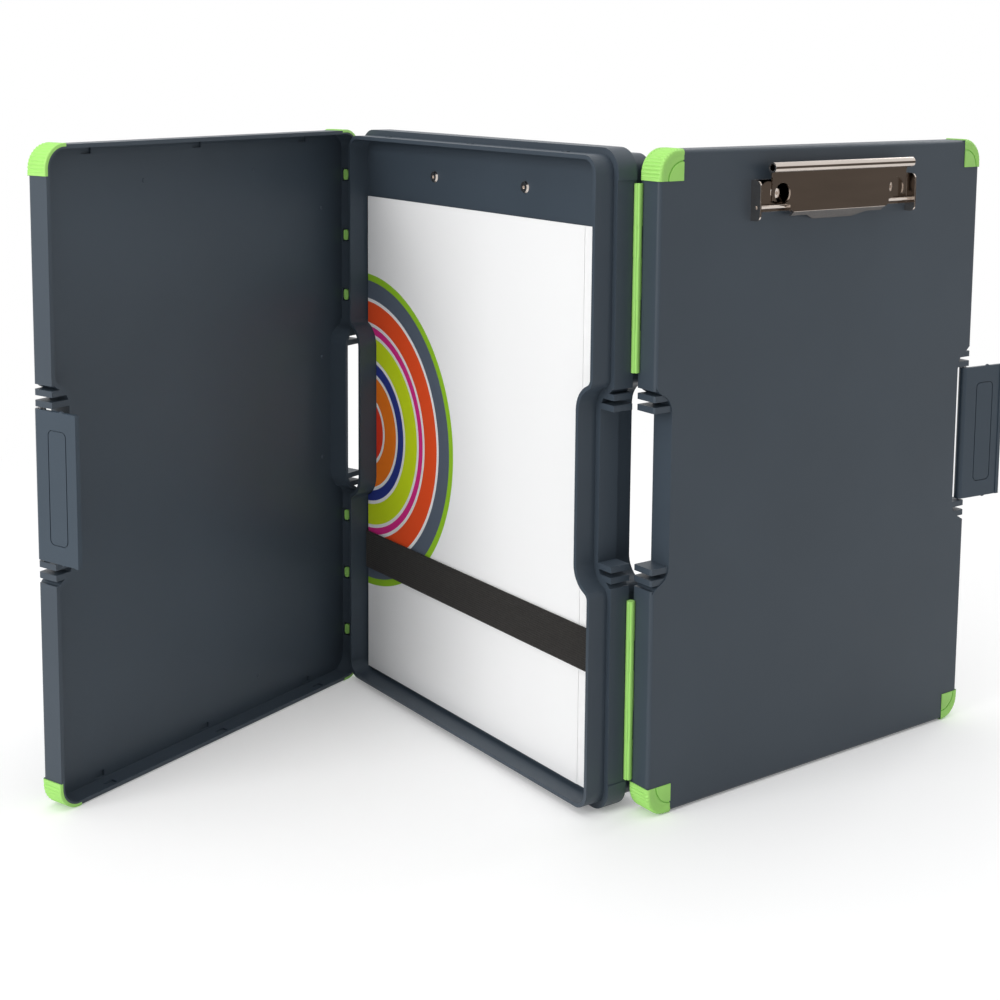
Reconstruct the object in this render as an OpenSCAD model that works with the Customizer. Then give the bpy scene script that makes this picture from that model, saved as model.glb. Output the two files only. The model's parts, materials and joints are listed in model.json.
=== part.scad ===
// Two-sided storage clipboard: a middle frame with a shallow lid hinged on each face, standing open.
// Millimetres, +Z up. The origin is the middle of the frame's bottom face, and its front faces -Y.

/* [Case] */
// Width of the middle frame
case_w = 230; // [228:1:260]
// Height of the middle frame
case_h = 325; // [315:1:360]
// Outer corner radius of the frame
corner_r = 12; // [10:0.5:16]

/* [Middle frame] */
// Depth of the frame between its two flange faces
frame_t = 11.4; // [9:0.2:16]
// Height of the lips that the lids close over
lip_h = 11; // [9:0.2:11.2]
// Thickness of the lips
lip_wall = 2; // [1.6:0.1:2.4]
// Thickness of the divider panel
panel_t = 2; // [1.6:0.1:3]
// How far the frame's sides are set in between its corner blocks
side_set = 0.5; // [0.3:0.1:0.8]
// How far the panel's front face lies behind the front flange
panel_set = 1; // [0.5:0.1:2]
// Side of the square lugs behind the panel
lug_s = 2; // [1.5:0.1:3]

/* [Lids] */
// Depth of a lid from rim to outer face
lid_d = 13; // [12.8:0.1:16]
// Thickness of a lid's side walls
lid_wall = 2; // [1.8:0.1:2.2]
// Thickness of a lid's floor
lid_floor = 1.6; // [1.2:0.1:1.7]
// How far a lid's side lies inside the frame's side
lid_inset = 0.6; // [0.4:0.1:0.8]
// Gap between a closed lid's rim and the flange
rim_gap = 0.3; // [0.2:0.05:0.5]
// Gap between a lip and the lid wall around it
lip_gap = 0.6; // [0.4:0.1:0.8]
// Spacing of the snap bumps along the top and bottom lips
snap_pitch = 80; // [60:1:90]
// Width of a snap bump
snap_w = 4; // [3:0.5:6]

/* [Grip notches] */
// Depth of the notch in each long side
notch_d = 10.5; // [9:0.5:12]
// Height of the finger hole in the notch
hole_l = 75.6; // [70:0.2:84]
// Radius of the S-shaped ends of the notch
curve_r = 8.7; // [8:0.1:10]
// Thickness of a comb fin
fin_t = 3; // [2.4:0.1:3.4]
// Width of the slot between two fins
slot_w = 2.4; // [1.8:0.1:2.8]
// How far a lid's fins lie below its outer face
fin_drop = 0.6; // [0.3:0.1:1]

/* [Corner bumpers] */
// Height of a bumper
bumper_h = 15; // [14:0.5:18]
// Width of the bumpers beside the hinge
bumper_hinge_w = 15; // [14:0.5:20]
// Width of the bumpers at the free edge
bumper_free_w = 13; // [12.5:0.5:16]
// Thickness of a bumper on the side
bumper_wall = 1.6; // [1.2:0.1:1.8]
// Thickness of a bumper on the outer face
bumper_face = 1; // [0.8:0.1:1.2]
// How far a bumper stands proud of the outer face
bumper_proud = 0.5; // [0.3:0.1:0.8]
// Radius of the quarter-round button on a bumper
button_r = 9; // [7:0.5:11]
// Width and depth of the groove around that button
button_groove = 0.6; // [0.4:0.1:0.7]

/* [Hinges] */
// How far a hinge axis lies outside the frame's side
hinge_out = 1; // [0.8:0.1:1.4]
// Radius of a hinge knuckle
knuckle_r = 2; // [1.8:0.1:2.4]
// Radius of a hinge pin
pin_r = 0.8; // [0.6:0.1:1]
// Gap between a hinge strip and the grip notch
strip_notch_gap = 2.2; // [1:0.1:5]
// Gap between a hinge strip and a corner bumper
strip_bumper_gap = 1.5; // [0.8:0.1:4]
// Length of the two knuckles held by the frame
frame_knuckle_l = 15; // [12:0.5:18]
// Height of a knuckle's tab
tab_l = 6; // [5:0.5:9]
// Thickness of a knuckle's tab
tab_t = 0.8; // [0.6:0.1:1.2]
// Width of the pad that locks a lid tab in its window
pad_w = 3.2; // [2.5:0.1:3.8]
// Distance from the hinge axis down to that pad
pad_from = 7; // [4:0.1:7.2]
// Gap around the pad in its window
window_gap = 0.8; // [0.5:0.1:1]
// Thickness of lid wall left outside the pad
pad_skin = 0.6; // [0.5:0.1:0.8]
// Radial running clearance of every pin
running = 0.05; // [0.03:0.01:0.08]
// Clearance around seated pieces
seat = 0.1; // [0.05:0.05:0.2]

/* [Latches] */
// Width of a latch plate from its barrel to its free edge
latch_w = 29.8; // [26:0.2:32]
// Thickness of a latch plate
latch_t = 2; // [1.6:0.1:2.4]
// Radius of a latch barrel
barrel_r = 2.6; // [2.2:0.1:2.8]
// Radius of a latch pin
latch_pin_r = 1; // [0.8:0.1:1.2]
// Gap between a latch plate's ends and the fins
latch_gap = 1; // [0.6:0.1:1.4]
// Radius of the snap dome on each end of a latch plate
dome_r = 1.4; // [1.2:0.1:1.6]
// Width of the rib along a latch's free edge
rib_w = 2.2; // [1.6:0.2:3]
// Height of that rib and depth of the latch's frame groove
relief = 0.5; // [0.3:0.1:0.8]

/* [Paper clips] */
// Width of a clip base
clip_w = 112; // [104:1:120]
// Distance between a clip's two rivets
rivet_pitch = 82; // [78:1:86]
// Distance from the top of the case down to the rivets
rivet_drop = 23; // [22:0.5:35]
// Thickness of the clip's sheet steel
sheet_t = 0.9; // [0.6:0.1:1.2]
// Width of the rolled top of a lever
lever_w = 100; // [94:1:102]
// Height of the outer lever's roll above its rivets
outer_roll_z = 13; // [12:0.2:14]
// Height of the inner lever's roll above its rivets
inner_roll_z = 12; // [11:0.2:12.2]
// Stand-off of the clip rod from the board
rod_out = 3.1; // [3:0.1:5]
// Outer radius of the roll
roll_r = 2.6; // [2.2:0.1:3]
// Radius of the clip rod
rod_r = 1; // [0.8:0.1:1.2]
// Radius of a rivet shank
rivet_r = 1.6; // [1.2:0.1:2]

/* [Strap and paper] */
// Width of the elastic strap
strap_w = 22; // [16:1:30]
// Height of the strap's middle
strap_z = 79; // [60:1:95]
// Thickness of the strap
strap_t = 1; // [0.8:0.1:1.2]
// Gap between the paper and the frame on each side
paper_side_gap = 1.85; // [1:0.05:8]
// Gap between the top of the paper and the rivets
paper_top_gap = 11.9; // [2:0.1:40]
// Thickness of the pile of paper
paper_t = 1; // [0.5:0.1:1.5]
// How much narrower the front sheet is
front_sheet_short = 16.9; // [13:0.1:30]

/* [Pose] */
// Angle that the left lid is opened from the frame
left_open = 70; // [0:1:180]
// Angle that the right lid is opened from the frame
right_open = 90; // [0:1:180]
// Angle that the left latch is swung out
left_latch_open = 0; // [0:1:120]
// Angle that the right latch is swung out
right_latch_open = 96; // [0:1:120]

/* [Hidden] */
$fn = 96;
eps = 0.01;
lip_in = lid_inset + lid_wall + lip_gap;
wall_in = lip_in + lip_wall;
front_y = -frame_t / 2;
rim_y = front_y - rim_gap;
face_y = rim_y - lid_d;
lip_y = front_y - lip_h;
panel_y = front_y + panel_set;
panel_back_y = panel_y + panel_t;
hinge_x = case_w / 2 + hinge_out;
groove_r = knuckle_r + 0.25;
curve_a = acos((2 * curve_r - notch_d) / (2 * curve_r));
curve_l = 2 * curve_r * sin(curve_a);
hole_half = hole_l / 2;
notch_half = hole_half + curve_l;
fin_step = fin_t + slot_w;
latch_half = hole_half - latch_gap;
latch_x = case_w / 2 - barrel_r + 0.2;
latch_y = face_y + barrel_r + 0.2;
latch_plate_x = latch_x + barrel_r - latch_t;
detent_y = 0;
dome_sunk = dome_r - 0.4;
moving_gap = 0.25;
snap_l = 2;
snap_from_flange = 4;
lug_pitch = 72;
rod_y = -rod_out;
rod_z = -6.5;
roll_wall = sheet_t;
spring_wire = 0.8;
spring_clear = 0.2;
spring_r = rod_r + spring_clear + spring_wire / 2;
knee_y = rod_y - spring_r - spring_wire / 2 - sheet_t / 2 - 0.35;
roll_y = knee_y - roll_r + roll_wall / 2 + 0.1;
flange_x = 34.5;
rivet_head_r = 3.1;
rivet_tail_r = 3.2;
rivet_window = 2.2;
strap_gap = 0.3;
front_sheet_t = 0.3;
paper_clear = 0.5;
// A square sheet stands in the frame's rounded corners, so it rests a little above the floor.
rivet_z = case_h - rivet_drop;
inner_r = corner_r - wall_in;
corner_lift = inner_r - sqrt(pow(inner_r, 2) - pow(max(0, inner_r - paper_side_gap), 2));
floor_z = wall_in + corner_lift + seat;
paper_w = case_w - 2 * wall_in - 2 * paper_side_gap;
paper_h = rivet_z - rivet_tail_r - paper_top_gap - floor_z;
front_sheet_w = paper_w - front_sheet_short;
strip_from = notch_half + strip_notch_gap;
strip_l = case_h / 2 - bumper_h - strip_bumper_gap - strip_from;
spring_leg = 11;
snap_pocket_side = 1;
paper_y = panel_y - seat;
strap_y = paper_y - paper_t - front_sheet_t - strap_gap;
strap_leg_x = case_w / 2 - wall_in - 0.25 - strap_t;
keeper_l = 14;
keeper_t = 1.6;
lid_knuckle_l = (strip_l - 2 * frame_knuckle_l) / 3;
axial_gap = 0.2;
tab_near = 0.4;
neck_t = 0.8;
neck_h = 2;
pad_x = hinge_out + lid_inset + pad_skin;
lid_tab_end = hinge_out + lid_inset + lid_wall;
frame_tab_end = hinge_out + wall_in - 1.6;
latch_pin_half = hole_half + fin_t - 0.2;
washer_t = 0.8;
small_rivet_r = 1;
keeper_x = strap_leg_x - keeper_l / 2 + strap_t;
keeper_rivet_z = strap_w / 2 + 2.5;

charcoal = "#3f4a53";
lime = "#9ce86e";
latch_grey = "#4a5b67";
steel = "#c9c6c2";

// ---- Outlines, drawn in the plane of the case with mid-height at y = 0 ----

module rounded(w, h, r) {
    square([w - 2 * r, h], center = true);
    square([w, h - 2 * r], center = true);
    for (x = [-1, 1], y = [-1, 1])
        translate([x * (w / 2 - r), y * (h / 2 - r)]) circle(r);
}

// The notch in the right-hand side, grown by the inset of the wall that follows it.
module bite(inset) {
    floor_x = case_w / 2 - notch_d - inset;
    hollow_x = case_w / 2 - notch_d + curve_r;
    bulge_x = case_w / 2 - curve_r;
    meet = (curve_r + inset) * [-cos(curve_a), sin(curve_a)];
    past = case_w / 2 + 5;
    half = [
        [floor_x, hole_half],
        [hollow_x + meet[0], hole_half + meet[1]],
        [bulge_x, notch_half],
        [past, notch_half],
    ];
    difference() {
        union() {
            polygon(concat(half, [for (i = [3:-1:0]) [half[i][0], -half[i][1]]]));
            for (s = [-1, 1]) translate([hollow_x, s * hole_half]) circle(curve_r + inset);
        }
        for (s = [-1, 1]) translate([bulge_x, s * notch_half]) circle(curve_r - inset);
    }
}

// The outline of the case, drawn in by inset.
module outline(inset) {
    difference() {
        rounded(case_w - 2 * inset, case_h - 2 * inset, corner_r - inset);
        for (s = [0, 1]) mirror([s, 0]) bite(inset);
    }
}

// The comb fins that fill the ends of both notches out to the side of the case.
module fins2d(inset) {
    intersection() {
        for (s = [0, 1]) mirror([s, 0]) bite(inset);
        for (side = [-1, 1], end = [-1, 1]) {
            for (i = [0, 1])
                translate([side * (case_w / 2 - notch_d / 2 - inset),
                           end * (hole_half + fin_t / 2 + i * fin_step)])
                    square([notch_d + 2, fin_t], center = true);
            solid_from = hole_half + 2 * fin_step;
            translate([side * (case_w / 2 - notch_d / 2 - inset), end * (solid_from + curve_l / 2)])
                square([notch_d + 2, curve_l], center = true);
        }
        square([case_w - 2 * inset, case_h], center = true);
    }
}

// Extrudes an outline along Y between two depths.
module slab(y0, y1) {
    translate([0, y1, case_h / 2]) rotate([90, 0, 0]) linear_extrude(y1 - y0) children();
}

// A profile drawn as (y, z), extruded along X about the middle.
module across(w) {
    rotate([90, 0, 90]) linear_extrude(w, center = true) children();
}

// A round-ended bar from p to q, t thick.
module bar2d(p, q, t) {
    run = q - p;
    translate(p) rotate(atan2(run[1], run[0])) translate([0, -t / 2]) square([norm(run), t]);
    for (end = [p, q]) translate(end) circle(t / 2);
}

// ---- Places ----

// Carries a piece drawn for the closed left lid to the given side and opening.
module on_lid(right, open) {
    rotate([0, 0, right ? 180 : 0])
        translate([-hinge_x, front_y, 0]) rotate([0, 0, -open]) translate([hinge_x, -front_y, 0])
            children();
}

module on_left_lid() { on_lid(false, left_open) children(); }
module on_right_lid() { on_lid(true, right_open) children(); }

// Turns a latch about its barrel.
module swung(open) {
    translate([latch_x, latch_y, 0]) rotate([0, 0, -open]) translate([-latch_x, -latch_y, 0])
        children();
}

module on_outer_clip() { on_right_lid() translate([0, face_y, rivet_z]) children(); }
module on_inner_clip() { rotate([0, 0, 180]) translate([0, -panel_back_y, rivet_z]) children(); }

// ---- Hinges ----

// Start and length of each knuckle along a strip; the lid holds the first, third and last.
function knuckle_from(i) = ceil(i / 2) * lid_knuckle_l + floor(i / 2) * frame_knuckle_l;
function knuckle_l(i) = i % 2 == 0 ? lid_knuckle_l : frame_knuckle_l;
function strip_z(upper) = case_h / 2 + (upper ? strip_from : -strip_from - strip_l);

module hinge_axis(upper) {
    translate([-hinge_x, front_y, strip_z(upper)]) children();
}

// A tab runs from a knuckle straight into the lid or frame wall. On a lid a neck leads from it,
// inside the wall, down to a pad that shows through a window.

// A block of height h centred on the tab's middle, grown sideways by grow and at its ends by end_grow.
module tab_block(x0, x1, y0, y1, h, grow, end_grow) {
    translate([x0 - end_grow, y0 - grow, -h / 2 - grow])
        cube([x1 - x0 + 2 * end_grow, y1 - y0 + 2 * grow, h + 2 * grow]);
}

module at_tab(i, to_lid) {
    mirror([0, to_lid ? 1 : 0, 0]) translate([0, 0, knuckle_from(i) + knuckle_l(i) / 2]) children();
}

module tab(i, to_lid, grow) {
    at_tab(i, to_lid) {
        tab_block(0, to_lid ? pad_x + neck_t : frame_tab_end, tab_near, tab_near + tab_t, tab_l, grow, grow);
        if (to_lid) {
            tab_block(pad_x, pad_x + neck_t, tab_near, pad_from + eps, neck_h, grow, grow);
            tab_block(pad_x, lid_tab_end, pad_from, pad_from + pad_w, tab_l, grow, grow);
        }
    }
}

module knuckles(upper, to_lid) {
    color(lime)
        hinge_axis(upper) difference() {
            for (i = to_lid ? [0, 2, 4] : [1, 3]) {
                translate([0, 0, knuckle_from(i) + axial_gap / 2])
                    cylinder(r = knuckle_r, h = knuckle_l(i) - axial_gap);
                tab(i, to_lid, 0);
            }
            translate([0, 0, -1]) cylinder(r = pin_r + running, h = strip_l + 2);
        }
}

module hinge_pin(upper) {
    color(steel)
        hinge_axis(upper) translate([0, 0, axial_gap]) cylinder(r = pin_r, h = strip_l - 2 * axial_gap);
}

// Room for the knuckles and their tabs, cut from the lid or the frame.
module hinge_cut(to_lid) {
    for (upper = [true, false]) hinge_axis(upper) {
        translate([0, 0, -seat]) cylinder(r = groove_r, h = strip_l + 2 * seat);
        for (i = to_lid ? [0, 2, 4] : [1, 3]) {
            tab(i, to_lid, seat / 2);
            if (to_lid) at_tab(i, true)
                tab_block(pad_x, lid_tab_end + 1, pad_from, pad_from + pad_w, tab_l, window_gap, seat / 2);
        }
    }
}

// ---- Middle section ----

// Blocks centred on the plane that lies inset from the top and bottom, three along each.
module snap_blocks(inset, w, l, reach) {
    for (i = [-1:1], s = [-1, 1])
        translate([i * snap_pitch, front_y - snap_from_flange, case_h / 2 + s * (case_h / 2 - inset)])
            cube([w, l, 2 * reach], center = true);
}

module middle_frame() {
    color(charcoal) {
        panel_lugs();
        difference() {
            union() {
                slab(-frame_t / 2, frame_t / 2) {
                    outline(0);
                    fins2d(0);
                }
                slab(lip_y, -lip_y) outline(lip_in);
                for (half = [0, 180]) rotate([0, 0, half])
                    snap_blocks(lip_in, snap_w, snap_l, lip_gap - moving_gap);
            }
            slab(lip_y - 1, 1 - lip_y) outline(wall_in);
            for (s = [-1, 1])
                translate([s * (case_w / 2 - side_set + frame_t / 2), 0, case_h / 2])
                    cube([frame_t, frame_t + 2, case_h - 2 * bumper_h], center = true);
            for (half = [0, 180]) rotate([0, 0, half]) {
                hinge_cut(false);
                for (s = [-1, 1])
                    translate([latch_plate_x + latch_t / 2, detent_y,
                               case_h / 2 + s * (hole_half - dome_sunk)])
                        sphere(dome_r);
            }
        }
    }
}

// Lugs on the inside of the frame that the divider panel rests against.
module panel_lugs() {
    for (s = [-1, 1], i = [-1:1])
        translate([i * lug_pitch, panel_back_y + seat + lug_s / 2,
                   case_h / 2 + s * (case_h / 2 - wall_in - lug_s / 2 + eps)])
            cube([3 * lug_s, lug_s, lug_s], center = true);
}

module divider_panel() {
    color(charcoal)
        difference() {
            slab(panel_y, panel_back_y) outline(wall_in + seat / 2);
            for (s = [-1, 1]) {
                translate([s * rivet_pitch / 2, panel_y - 1, rivet_z]) rotate([-90, 0, 0])
                    cylinder(r = rivet_r + running, h = panel_t + 2);
                translate([s * (strap_leg_x + strap_t), panel_y + panel_t / 2, strap_z])
                    cube([2 * strap_t + 0.4, panel_t + 2, strap_w + 0.6], center = true);
                for (e = [-1, 1])
                    translate([s * keeper_x, panel_y - 1, strap_z + e * keeper_rivet_z]) rotate([-90, 0, 0])
                        cylinder(r = small_rivet_r + running, h = panel_t + 2);
            }
        }
}

// ---- Lids ----

function bumper_w(hinge_side) = hinge_side ? bumper_hinge_w : bumper_free_w;

module bumper_zone(hinge_side, top) {
    mirror([hinge_side ? 1 : 0, 0]) mirror([0, top ? 0 : 1])
        translate([case_w / 2 - bumper_w(hinge_side), case_h / 2 - bumper_h])
            square([bumper_w(hinge_side) + 5, bumper_h + 5]);
}

module lid() {
    color(charcoal)
        difference() {
            union() {
                difference() {
                    slab(face_y, rim_y) outline(lid_inset);
                    slab(face_y + lid_floor, rim_y + 1) outline(lid_inset + lid_wall);
                }
                slab(face_y + fin_drop, rim_y) fins2d(lid_inset);
            }
            for (hinge_side = [true, false], top = [true, false]) {
                slab(face_y - 1, rim_y + 1) difference() {
                    bumper_zone(hinge_side, top);
                    outline(bumper_wall + seat / 2);
                }
                slab(face_y - 1, face_y + bumper_face - bumper_proud + seat / 2) bumper_zone(hinge_side, top);
            }
            hinge_cut(true);
            snap_blocks(lid_inset + lid_wall, snap_w + 2 * snap_pocket_side,
                        snap_l + 2 * snap_pocket_side, lid_wall / 2);
            translate([latch_x, latch_y, case_h / 2])
                cylinder(r = latch_pin_r + running, h = 2 * latch_pin_half, center = true);
        }
}

// The right lid is the same shell with rivet holes for the outer clip.
module outer_lid() {
    difference() {
        lid();
        translate([0, face_y, rivet_z]) rivet_holes(4 * lid_floor);
    }
}

module bumper(hinge_side, top) {
    cap_y = face_y - bumper_proud;
    sx = hinge_side ? -1 : 1;
    sz = top ? 1 : -1;
    color(lime)
        difference() {
            slab(cap_y, rim_y) intersection() {
                outline(0);
                bumper_zone(hinge_side, top);
            }
            slab(face_y + bumper_face - bumper_proud, rim_y + 1) outline(bumper_wall);
            translate([sx * (case_w / 2 - bumper_w(hinge_side)), cap_y,
                       case_h / 2 + sz * (case_h / 2 - bumper_h)])
                rotate([90, 0, 0]) difference() {
                    cylinder(r = button_r + button_groove, h = 2 * button_groove, center = true);
                    cylinder(r = button_r, h = 3 * button_groove, center = true);
                }
        }
}

// ---- Latches ----

module latch() {
    length = 2 * latch_half;
    tip_y = latch_y - barrel_r + latch_w;
    frame_l = length * 0.76;
    frame_w = latch_w * 0.42;
    frame_r = 3;
    color(latch_grey)
        translate([0, 0, case_h / 2]) difference() {
            union() {
                translate([latch_x, latch_y, 0]) cylinder(r = barrel_r, h = length, center = true);
                translate([latch_plate_x, latch_y, -latch_half]) cube([latch_t, tip_y - latch_y, length]);
                translate([latch_plate_x + latch_t - eps, tip_y - rib_w, -latch_half])
                    cube([relief, rib_w, length]);
                for (s = [-1, 1])
                    translate([latch_plate_x + latch_t / 2, detent_y, s * (hole_half - moving_gap - dome_r)])
                        intersection() {
                            sphere(dome_r);
                            cube([latch_t, 2 * dome_r, 2 * dome_r], center = true);
                        }
            }
            cylinder_bore();
            translate([latch_plate_x + latch_t, (latch_y + barrel_r + tip_y - rib_w) / 2, 0])
                rotate([90, 0, 90]) linear_extrude(2 * relief, center = true) difference() {
                    rounded(frame_w, frame_l, frame_r);
                    rounded(frame_w - 2 * relief, frame_l - 2 * relief, frame_r - relief);
                }
        }
}

module cylinder_bore() {
    translate([latch_x, latch_y, 0]) cylinder(r = latch_pin_r + running, h = case_h, center = true);
}

module latch_pin() {
    color(steel)
        translate([latch_x, latch_y, case_h / 2])
            cylinder(r = latch_pin_r, h = 2 * latch_pin_half - 0.4, center = true);
}

// ---- Paper clips, drawn on a board whose face is y = 0 and faces -Y ----

module rod_bore(w) {
    translate([0, rod_y, rod_z]) rotate([0, 90, 0]) cylinder(r = rod_r + running, h = w, center = true);
}

module rivet_holes(depth) {
    for (s = [-1, 1])
        translate([s * rivet_pitch / 2, 0, 0]) rotate([90, 0, 0])
            cylinder(r = rivet_r + running, h = depth, center = true);
}

module clip_base() {
    ear_top = 6.8;
    ear_bottom = -13;
    ear_out = rod_out + 3.4;
    foot = -9;
    color(steel)
        difference() {
            union() {
                translate([-clip_w / 2, -sheet_t, foot]) cube([clip_w, sheet_t, ear_top - foot]);
                for (s = [-1, 1]) translate([s * (clip_w - sheet_t) / 2, 0, 0]) across(sheet_t) difference() {
                    union() {
                        translate([-ear_out + 3, ear_bottom]) square([ear_out - 3, ear_top - ear_bottom]);
                        translate([-ear_out, ear_bottom + 3]) square([ear_out, ear_top - ear_bottom - 6]);
                        for (z = [ear_bottom + 3, ear_top - 3]) translate([-ear_out + 3, z]) circle(3);
                    }
                }
            }
            rivet_holes(4 * sheet_t);
            rod_bore(clip_w + 2);
        }
}

module clip_lever(roll_z) {
    roll = [roll_y, roll_z];
    knee = [knee_y, rod_z - 2.5];
    jaw = [-sheet_t / 2 - 0.15, rod_z - 7];
    lower_half = flange_x + 1;
    jaw_half = flange_x - 2;
    jaw_dip = 2.6;
    neck_z = roll_z - 5;
    color(steel)
        difference() {
            union() {
                translate([0, roll[0], roll[1]]) rotate([0, 90, 0]) difference() {
                    cylinder(r = roll_r, h = lever_w, center = true);
                    cylinder(r = roll_r - roll_wall, h = lever_w + 1, center = true);
                }
                difference() {
                    intersection() {
                        across(lever_w) {
                            bar2d(knee, roll + [roll_r - roll_wall / 2 - 0.1, 0], sheet_t);
                            bar2d(jaw, knee, sheet_t);
                        }
                        lever_face(roll_z, lower_half, neck_z, jaw_half, jaw_dip);
                    }
                    translate([0, roll[0], roll[1]]) rotate([0, 90, 0])
                        cylinder(r = roll_r - roll_wall, h = lever_w + 1, center = true);
                }
                for (s = [-1, 1]) translate([s * flange_x, 0, 0]) across(sheet_t) {
                    translate([rod_y, rod_z]) circle(rod_r + 0.9);
                    polygon([[rod_y - 1, rod_z - 1.6], knee + [0.2, 0],
                             knee + [0.2, 9], [rod_y + 1.3, rod_z + 1.3]]);
                }
            }
            rod_bore(clip_w);
        }
}

// The lever seen from the front: wide at the roll, narrow between the rivets, dipped at the jaw.
module lever_face(roll_z, lower_half, neck_z, jaw_half, jaw_dip) {
    jaw_z = rod_z - 7.5;
    half = [
        [lever_w / 2, roll_z + 1],
        [lever_w / 2 - 2, neck_z],
        [lever_w / 2 - 2, -rivet_head_r],
        [lower_half, -rivet_head_r - rivet_window - 0.5],
        [lower_half, rod_z - 1],
        [jaw_half, rod_z - 3],
        [jaw_half, jaw_z + jaw_dip],
        [jaw_half * 0.66, jaw_z + jaw_dip],
        [jaw_half * 0.42, jaw_z],
    ];
    mirrored = [for (i = [len(half) - 1:-1:0]) [-half[i][0], half[i][1]]];
    rotate([90, 0, 0]) linear_extrude(-6 * roll_y, center = true) difference() {
        polygon(concat(half, mirrored));
        for (s = [-1, 1]) translate([s * rivet_pitch / 2, 0]) circle(rivet_head_r + rivet_window);
    }
}

module clip_rod() {
    color(steel)
        translate([0, rod_y, rod_z]) rotate([0, 90, 0]) cylinder(r = rod_r, h = clip_w + 1, center = true);
}

module clip_spring() {
    coil_l = 22;
    wire = spring_wire;
    coil_r = spring_r;
    leg_d = wire - 0.1;
    color(steel) {
        translate([0, rod_y, rod_z]) rotate([0, 90, 0]) difference() {
            cylinder(r = coil_r + wire / 2, h = coil_l, center = true);
            cylinder(r = coil_r - wire / 2, h = coil_l + 1, center = true);
        }
        for (s = [-1, 1])
            translate([s * (coil_l - wire) / 2, rod_y + coil_r, rod_z]) cylinder(d = leg_d, h = spring_leg);
    }
}

// Rivets through the clip base and a board of the given thickness, with washers behind if wanted.
module clip_rivets(board, behind) {
    head_h = 1.2;
    color(steel)
        for (s = [-1, 1]) translate([s * rivet_pitch / 2, 0, 0]) rotate([-90, 0, 0]) difference() {
            union() {
                translate([0, 0, -sheet_t - head_h])
                    cylinder(r1 = rivet_head_r - 0.8, r2 = rivet_head_r, h = head_h);
                translate([0, 0, -sheet_t - eps])
                    cylinder(r = rivet_r, h = sheet_t + board + behind + 2 * eps);
                translate([0, 0, board + behind])
                    cylinder(r1 = rivet_tail_r, r2 = rivet_tail_r - 0.6, h = 0.9);
            }
            translate([0, 0, -sheet_t - head_h - 1]) cylinder(r = rivet_r - 0.7, h = 2);
            translate([0, 0, board + behind + 0.3]) cylinder(r = rivet_r - 0.7, h = 2);
        }
}

module clip_washers() {
    color(steel)
        for (s = [-1, 1]) translate([s * rivet_pitch / 2, 0, 0]) rotate([-90, 0, 0]) difference() {
            translate([0, 0, lid_floor]) cylinder(r = 4, h = washer_t);
            cylinder(r = rivet_r + running, h = lid_floor + washer_t + 1);
        }
}

// ---- Strap and paper ----

module elastic_strap() {
    back_y = panel_back_y + seat;
    color("#262422")
        for (s = [-1, 1])
            translate([0, 0, strap_z - strap_w / 2]) linear_extrude(strap_w) mirror([s > 0 ? 0 : 1, 0]) {
                translate([0, strap_y - strap_t]) square([strap_leg_x + strap_t, strap_t]);
                translate([strap_leg_x, strap_y - strap_t]) square([strap_t, back_y + 2 * strap_t - strap_y]);
                translate([strap_leg_x - keeper_l + 3, back_y]) square([keeper_l - 3 + strap_t, strap_t]);
            }
}

module strap_keepers() {
    keeper_y = panel_back_y + seat + strap_t;
    height = 2 * keeper_rivet_z + 6;
    color(charcoal)
        for (s = [-1, 1]) difference() {
            translate([s * keeper_x - keeper_l / 2, panel_back_y, strap_z - height / 2])
                cube([keeper_l, seat * 2 + strap_t + keeper_t, height]);
            translate([s * keeper_x - keeper_l, panel_back_y - 1, strap_z - strap_w / 2 - 0.2])
                cube([2 * keeper_l, keeper_y - panel_back_y + 1 + seat, strap_w + 0.4]);
            for (e = [-1, 1])
                translate([s * keeper_x, panel_back_y - 1, strap_z + e * keeper_rivet_z]) rotate([-90, 0, 0])
                    cylinder(r = small_rivet_r + running, h = panel_t + keeper_t + 2);
        }
}

module strap_rivets() {
    grip = panel_t + seat * 2 + strap_t + keeper_t;
    color(steel)
        for (s = [-1, 1], e = [-1, 1])
            translate([s * keeper_x, panel_y, strap_z + e * keeper_rivet_z]) rotate([-90, 0, 0]) {
                cylinder(r = small_rivet_r, h = grip + eps);
                translate([0, 0, grip]) cylinder(r1 = 2, r2 = 1.4, h = 0.8);
            }
}

// A sheet cut out round the two grips, from depth y0 to y1.
module sheet_stack(w, y0, y1) {
    slab(y0, y1) difference() {
        translate([-paper_w / 2, floor_z - case_h / 2]) square([w, paper_h]);
        for (s = [0, 1]) mirror([s, 0]) bite(wall_in + paper_clear);
    }
}

module paper_pile() {
    color("white") sheet_stack(paper_w, paper_y - paper_t, paper_y);
}

module front_sheet() {
    color("white") sheet_stack(front_sheet_w, paper_y - paper_t - front_sheet_t, paper_y - paper_t);
}

// ---- What is drawn ----

middle_frame();
divider_panel();
on_left_lid() lid();  // left_lid
on_right_lid() outer_lid();  // right_lid
on_left_lid() bumper(true, true);  // left_bumper_hinge_top
on_left_lid() bumper(true, false);  // left_bumper_hinge_bottom
on_left_lid() bumper(false, true);  // left_bumper_free_top
on_left_lid() bumper(false, false);  // left_bumper_free_bottom
on_right_lid() bumper(true, true);  // right_bumper_hinge_top
on_right_lid() bumper(true, false);  // right_bumper_hinge_bottom
on_right_lid() bumper(false, true);  // right_bumper_free_top
on_right_lid() bumper(false, false);  // right_bumper_free_bottom
on_left_lid() knuckles(true, true);  // left_lid_knuckles_upper
on_left_lid() knuckles(false, true);  // left_lid_knuckles_lower
knuckles(true, false);  // left_frame_knuckles_upper
knuckles(false, false);  // left_frame_knuckles_lower
hinge_pin(true);  // left_hinge_pin_upper
hinge_pin(false);  // left_hinge_pin_lower
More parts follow.
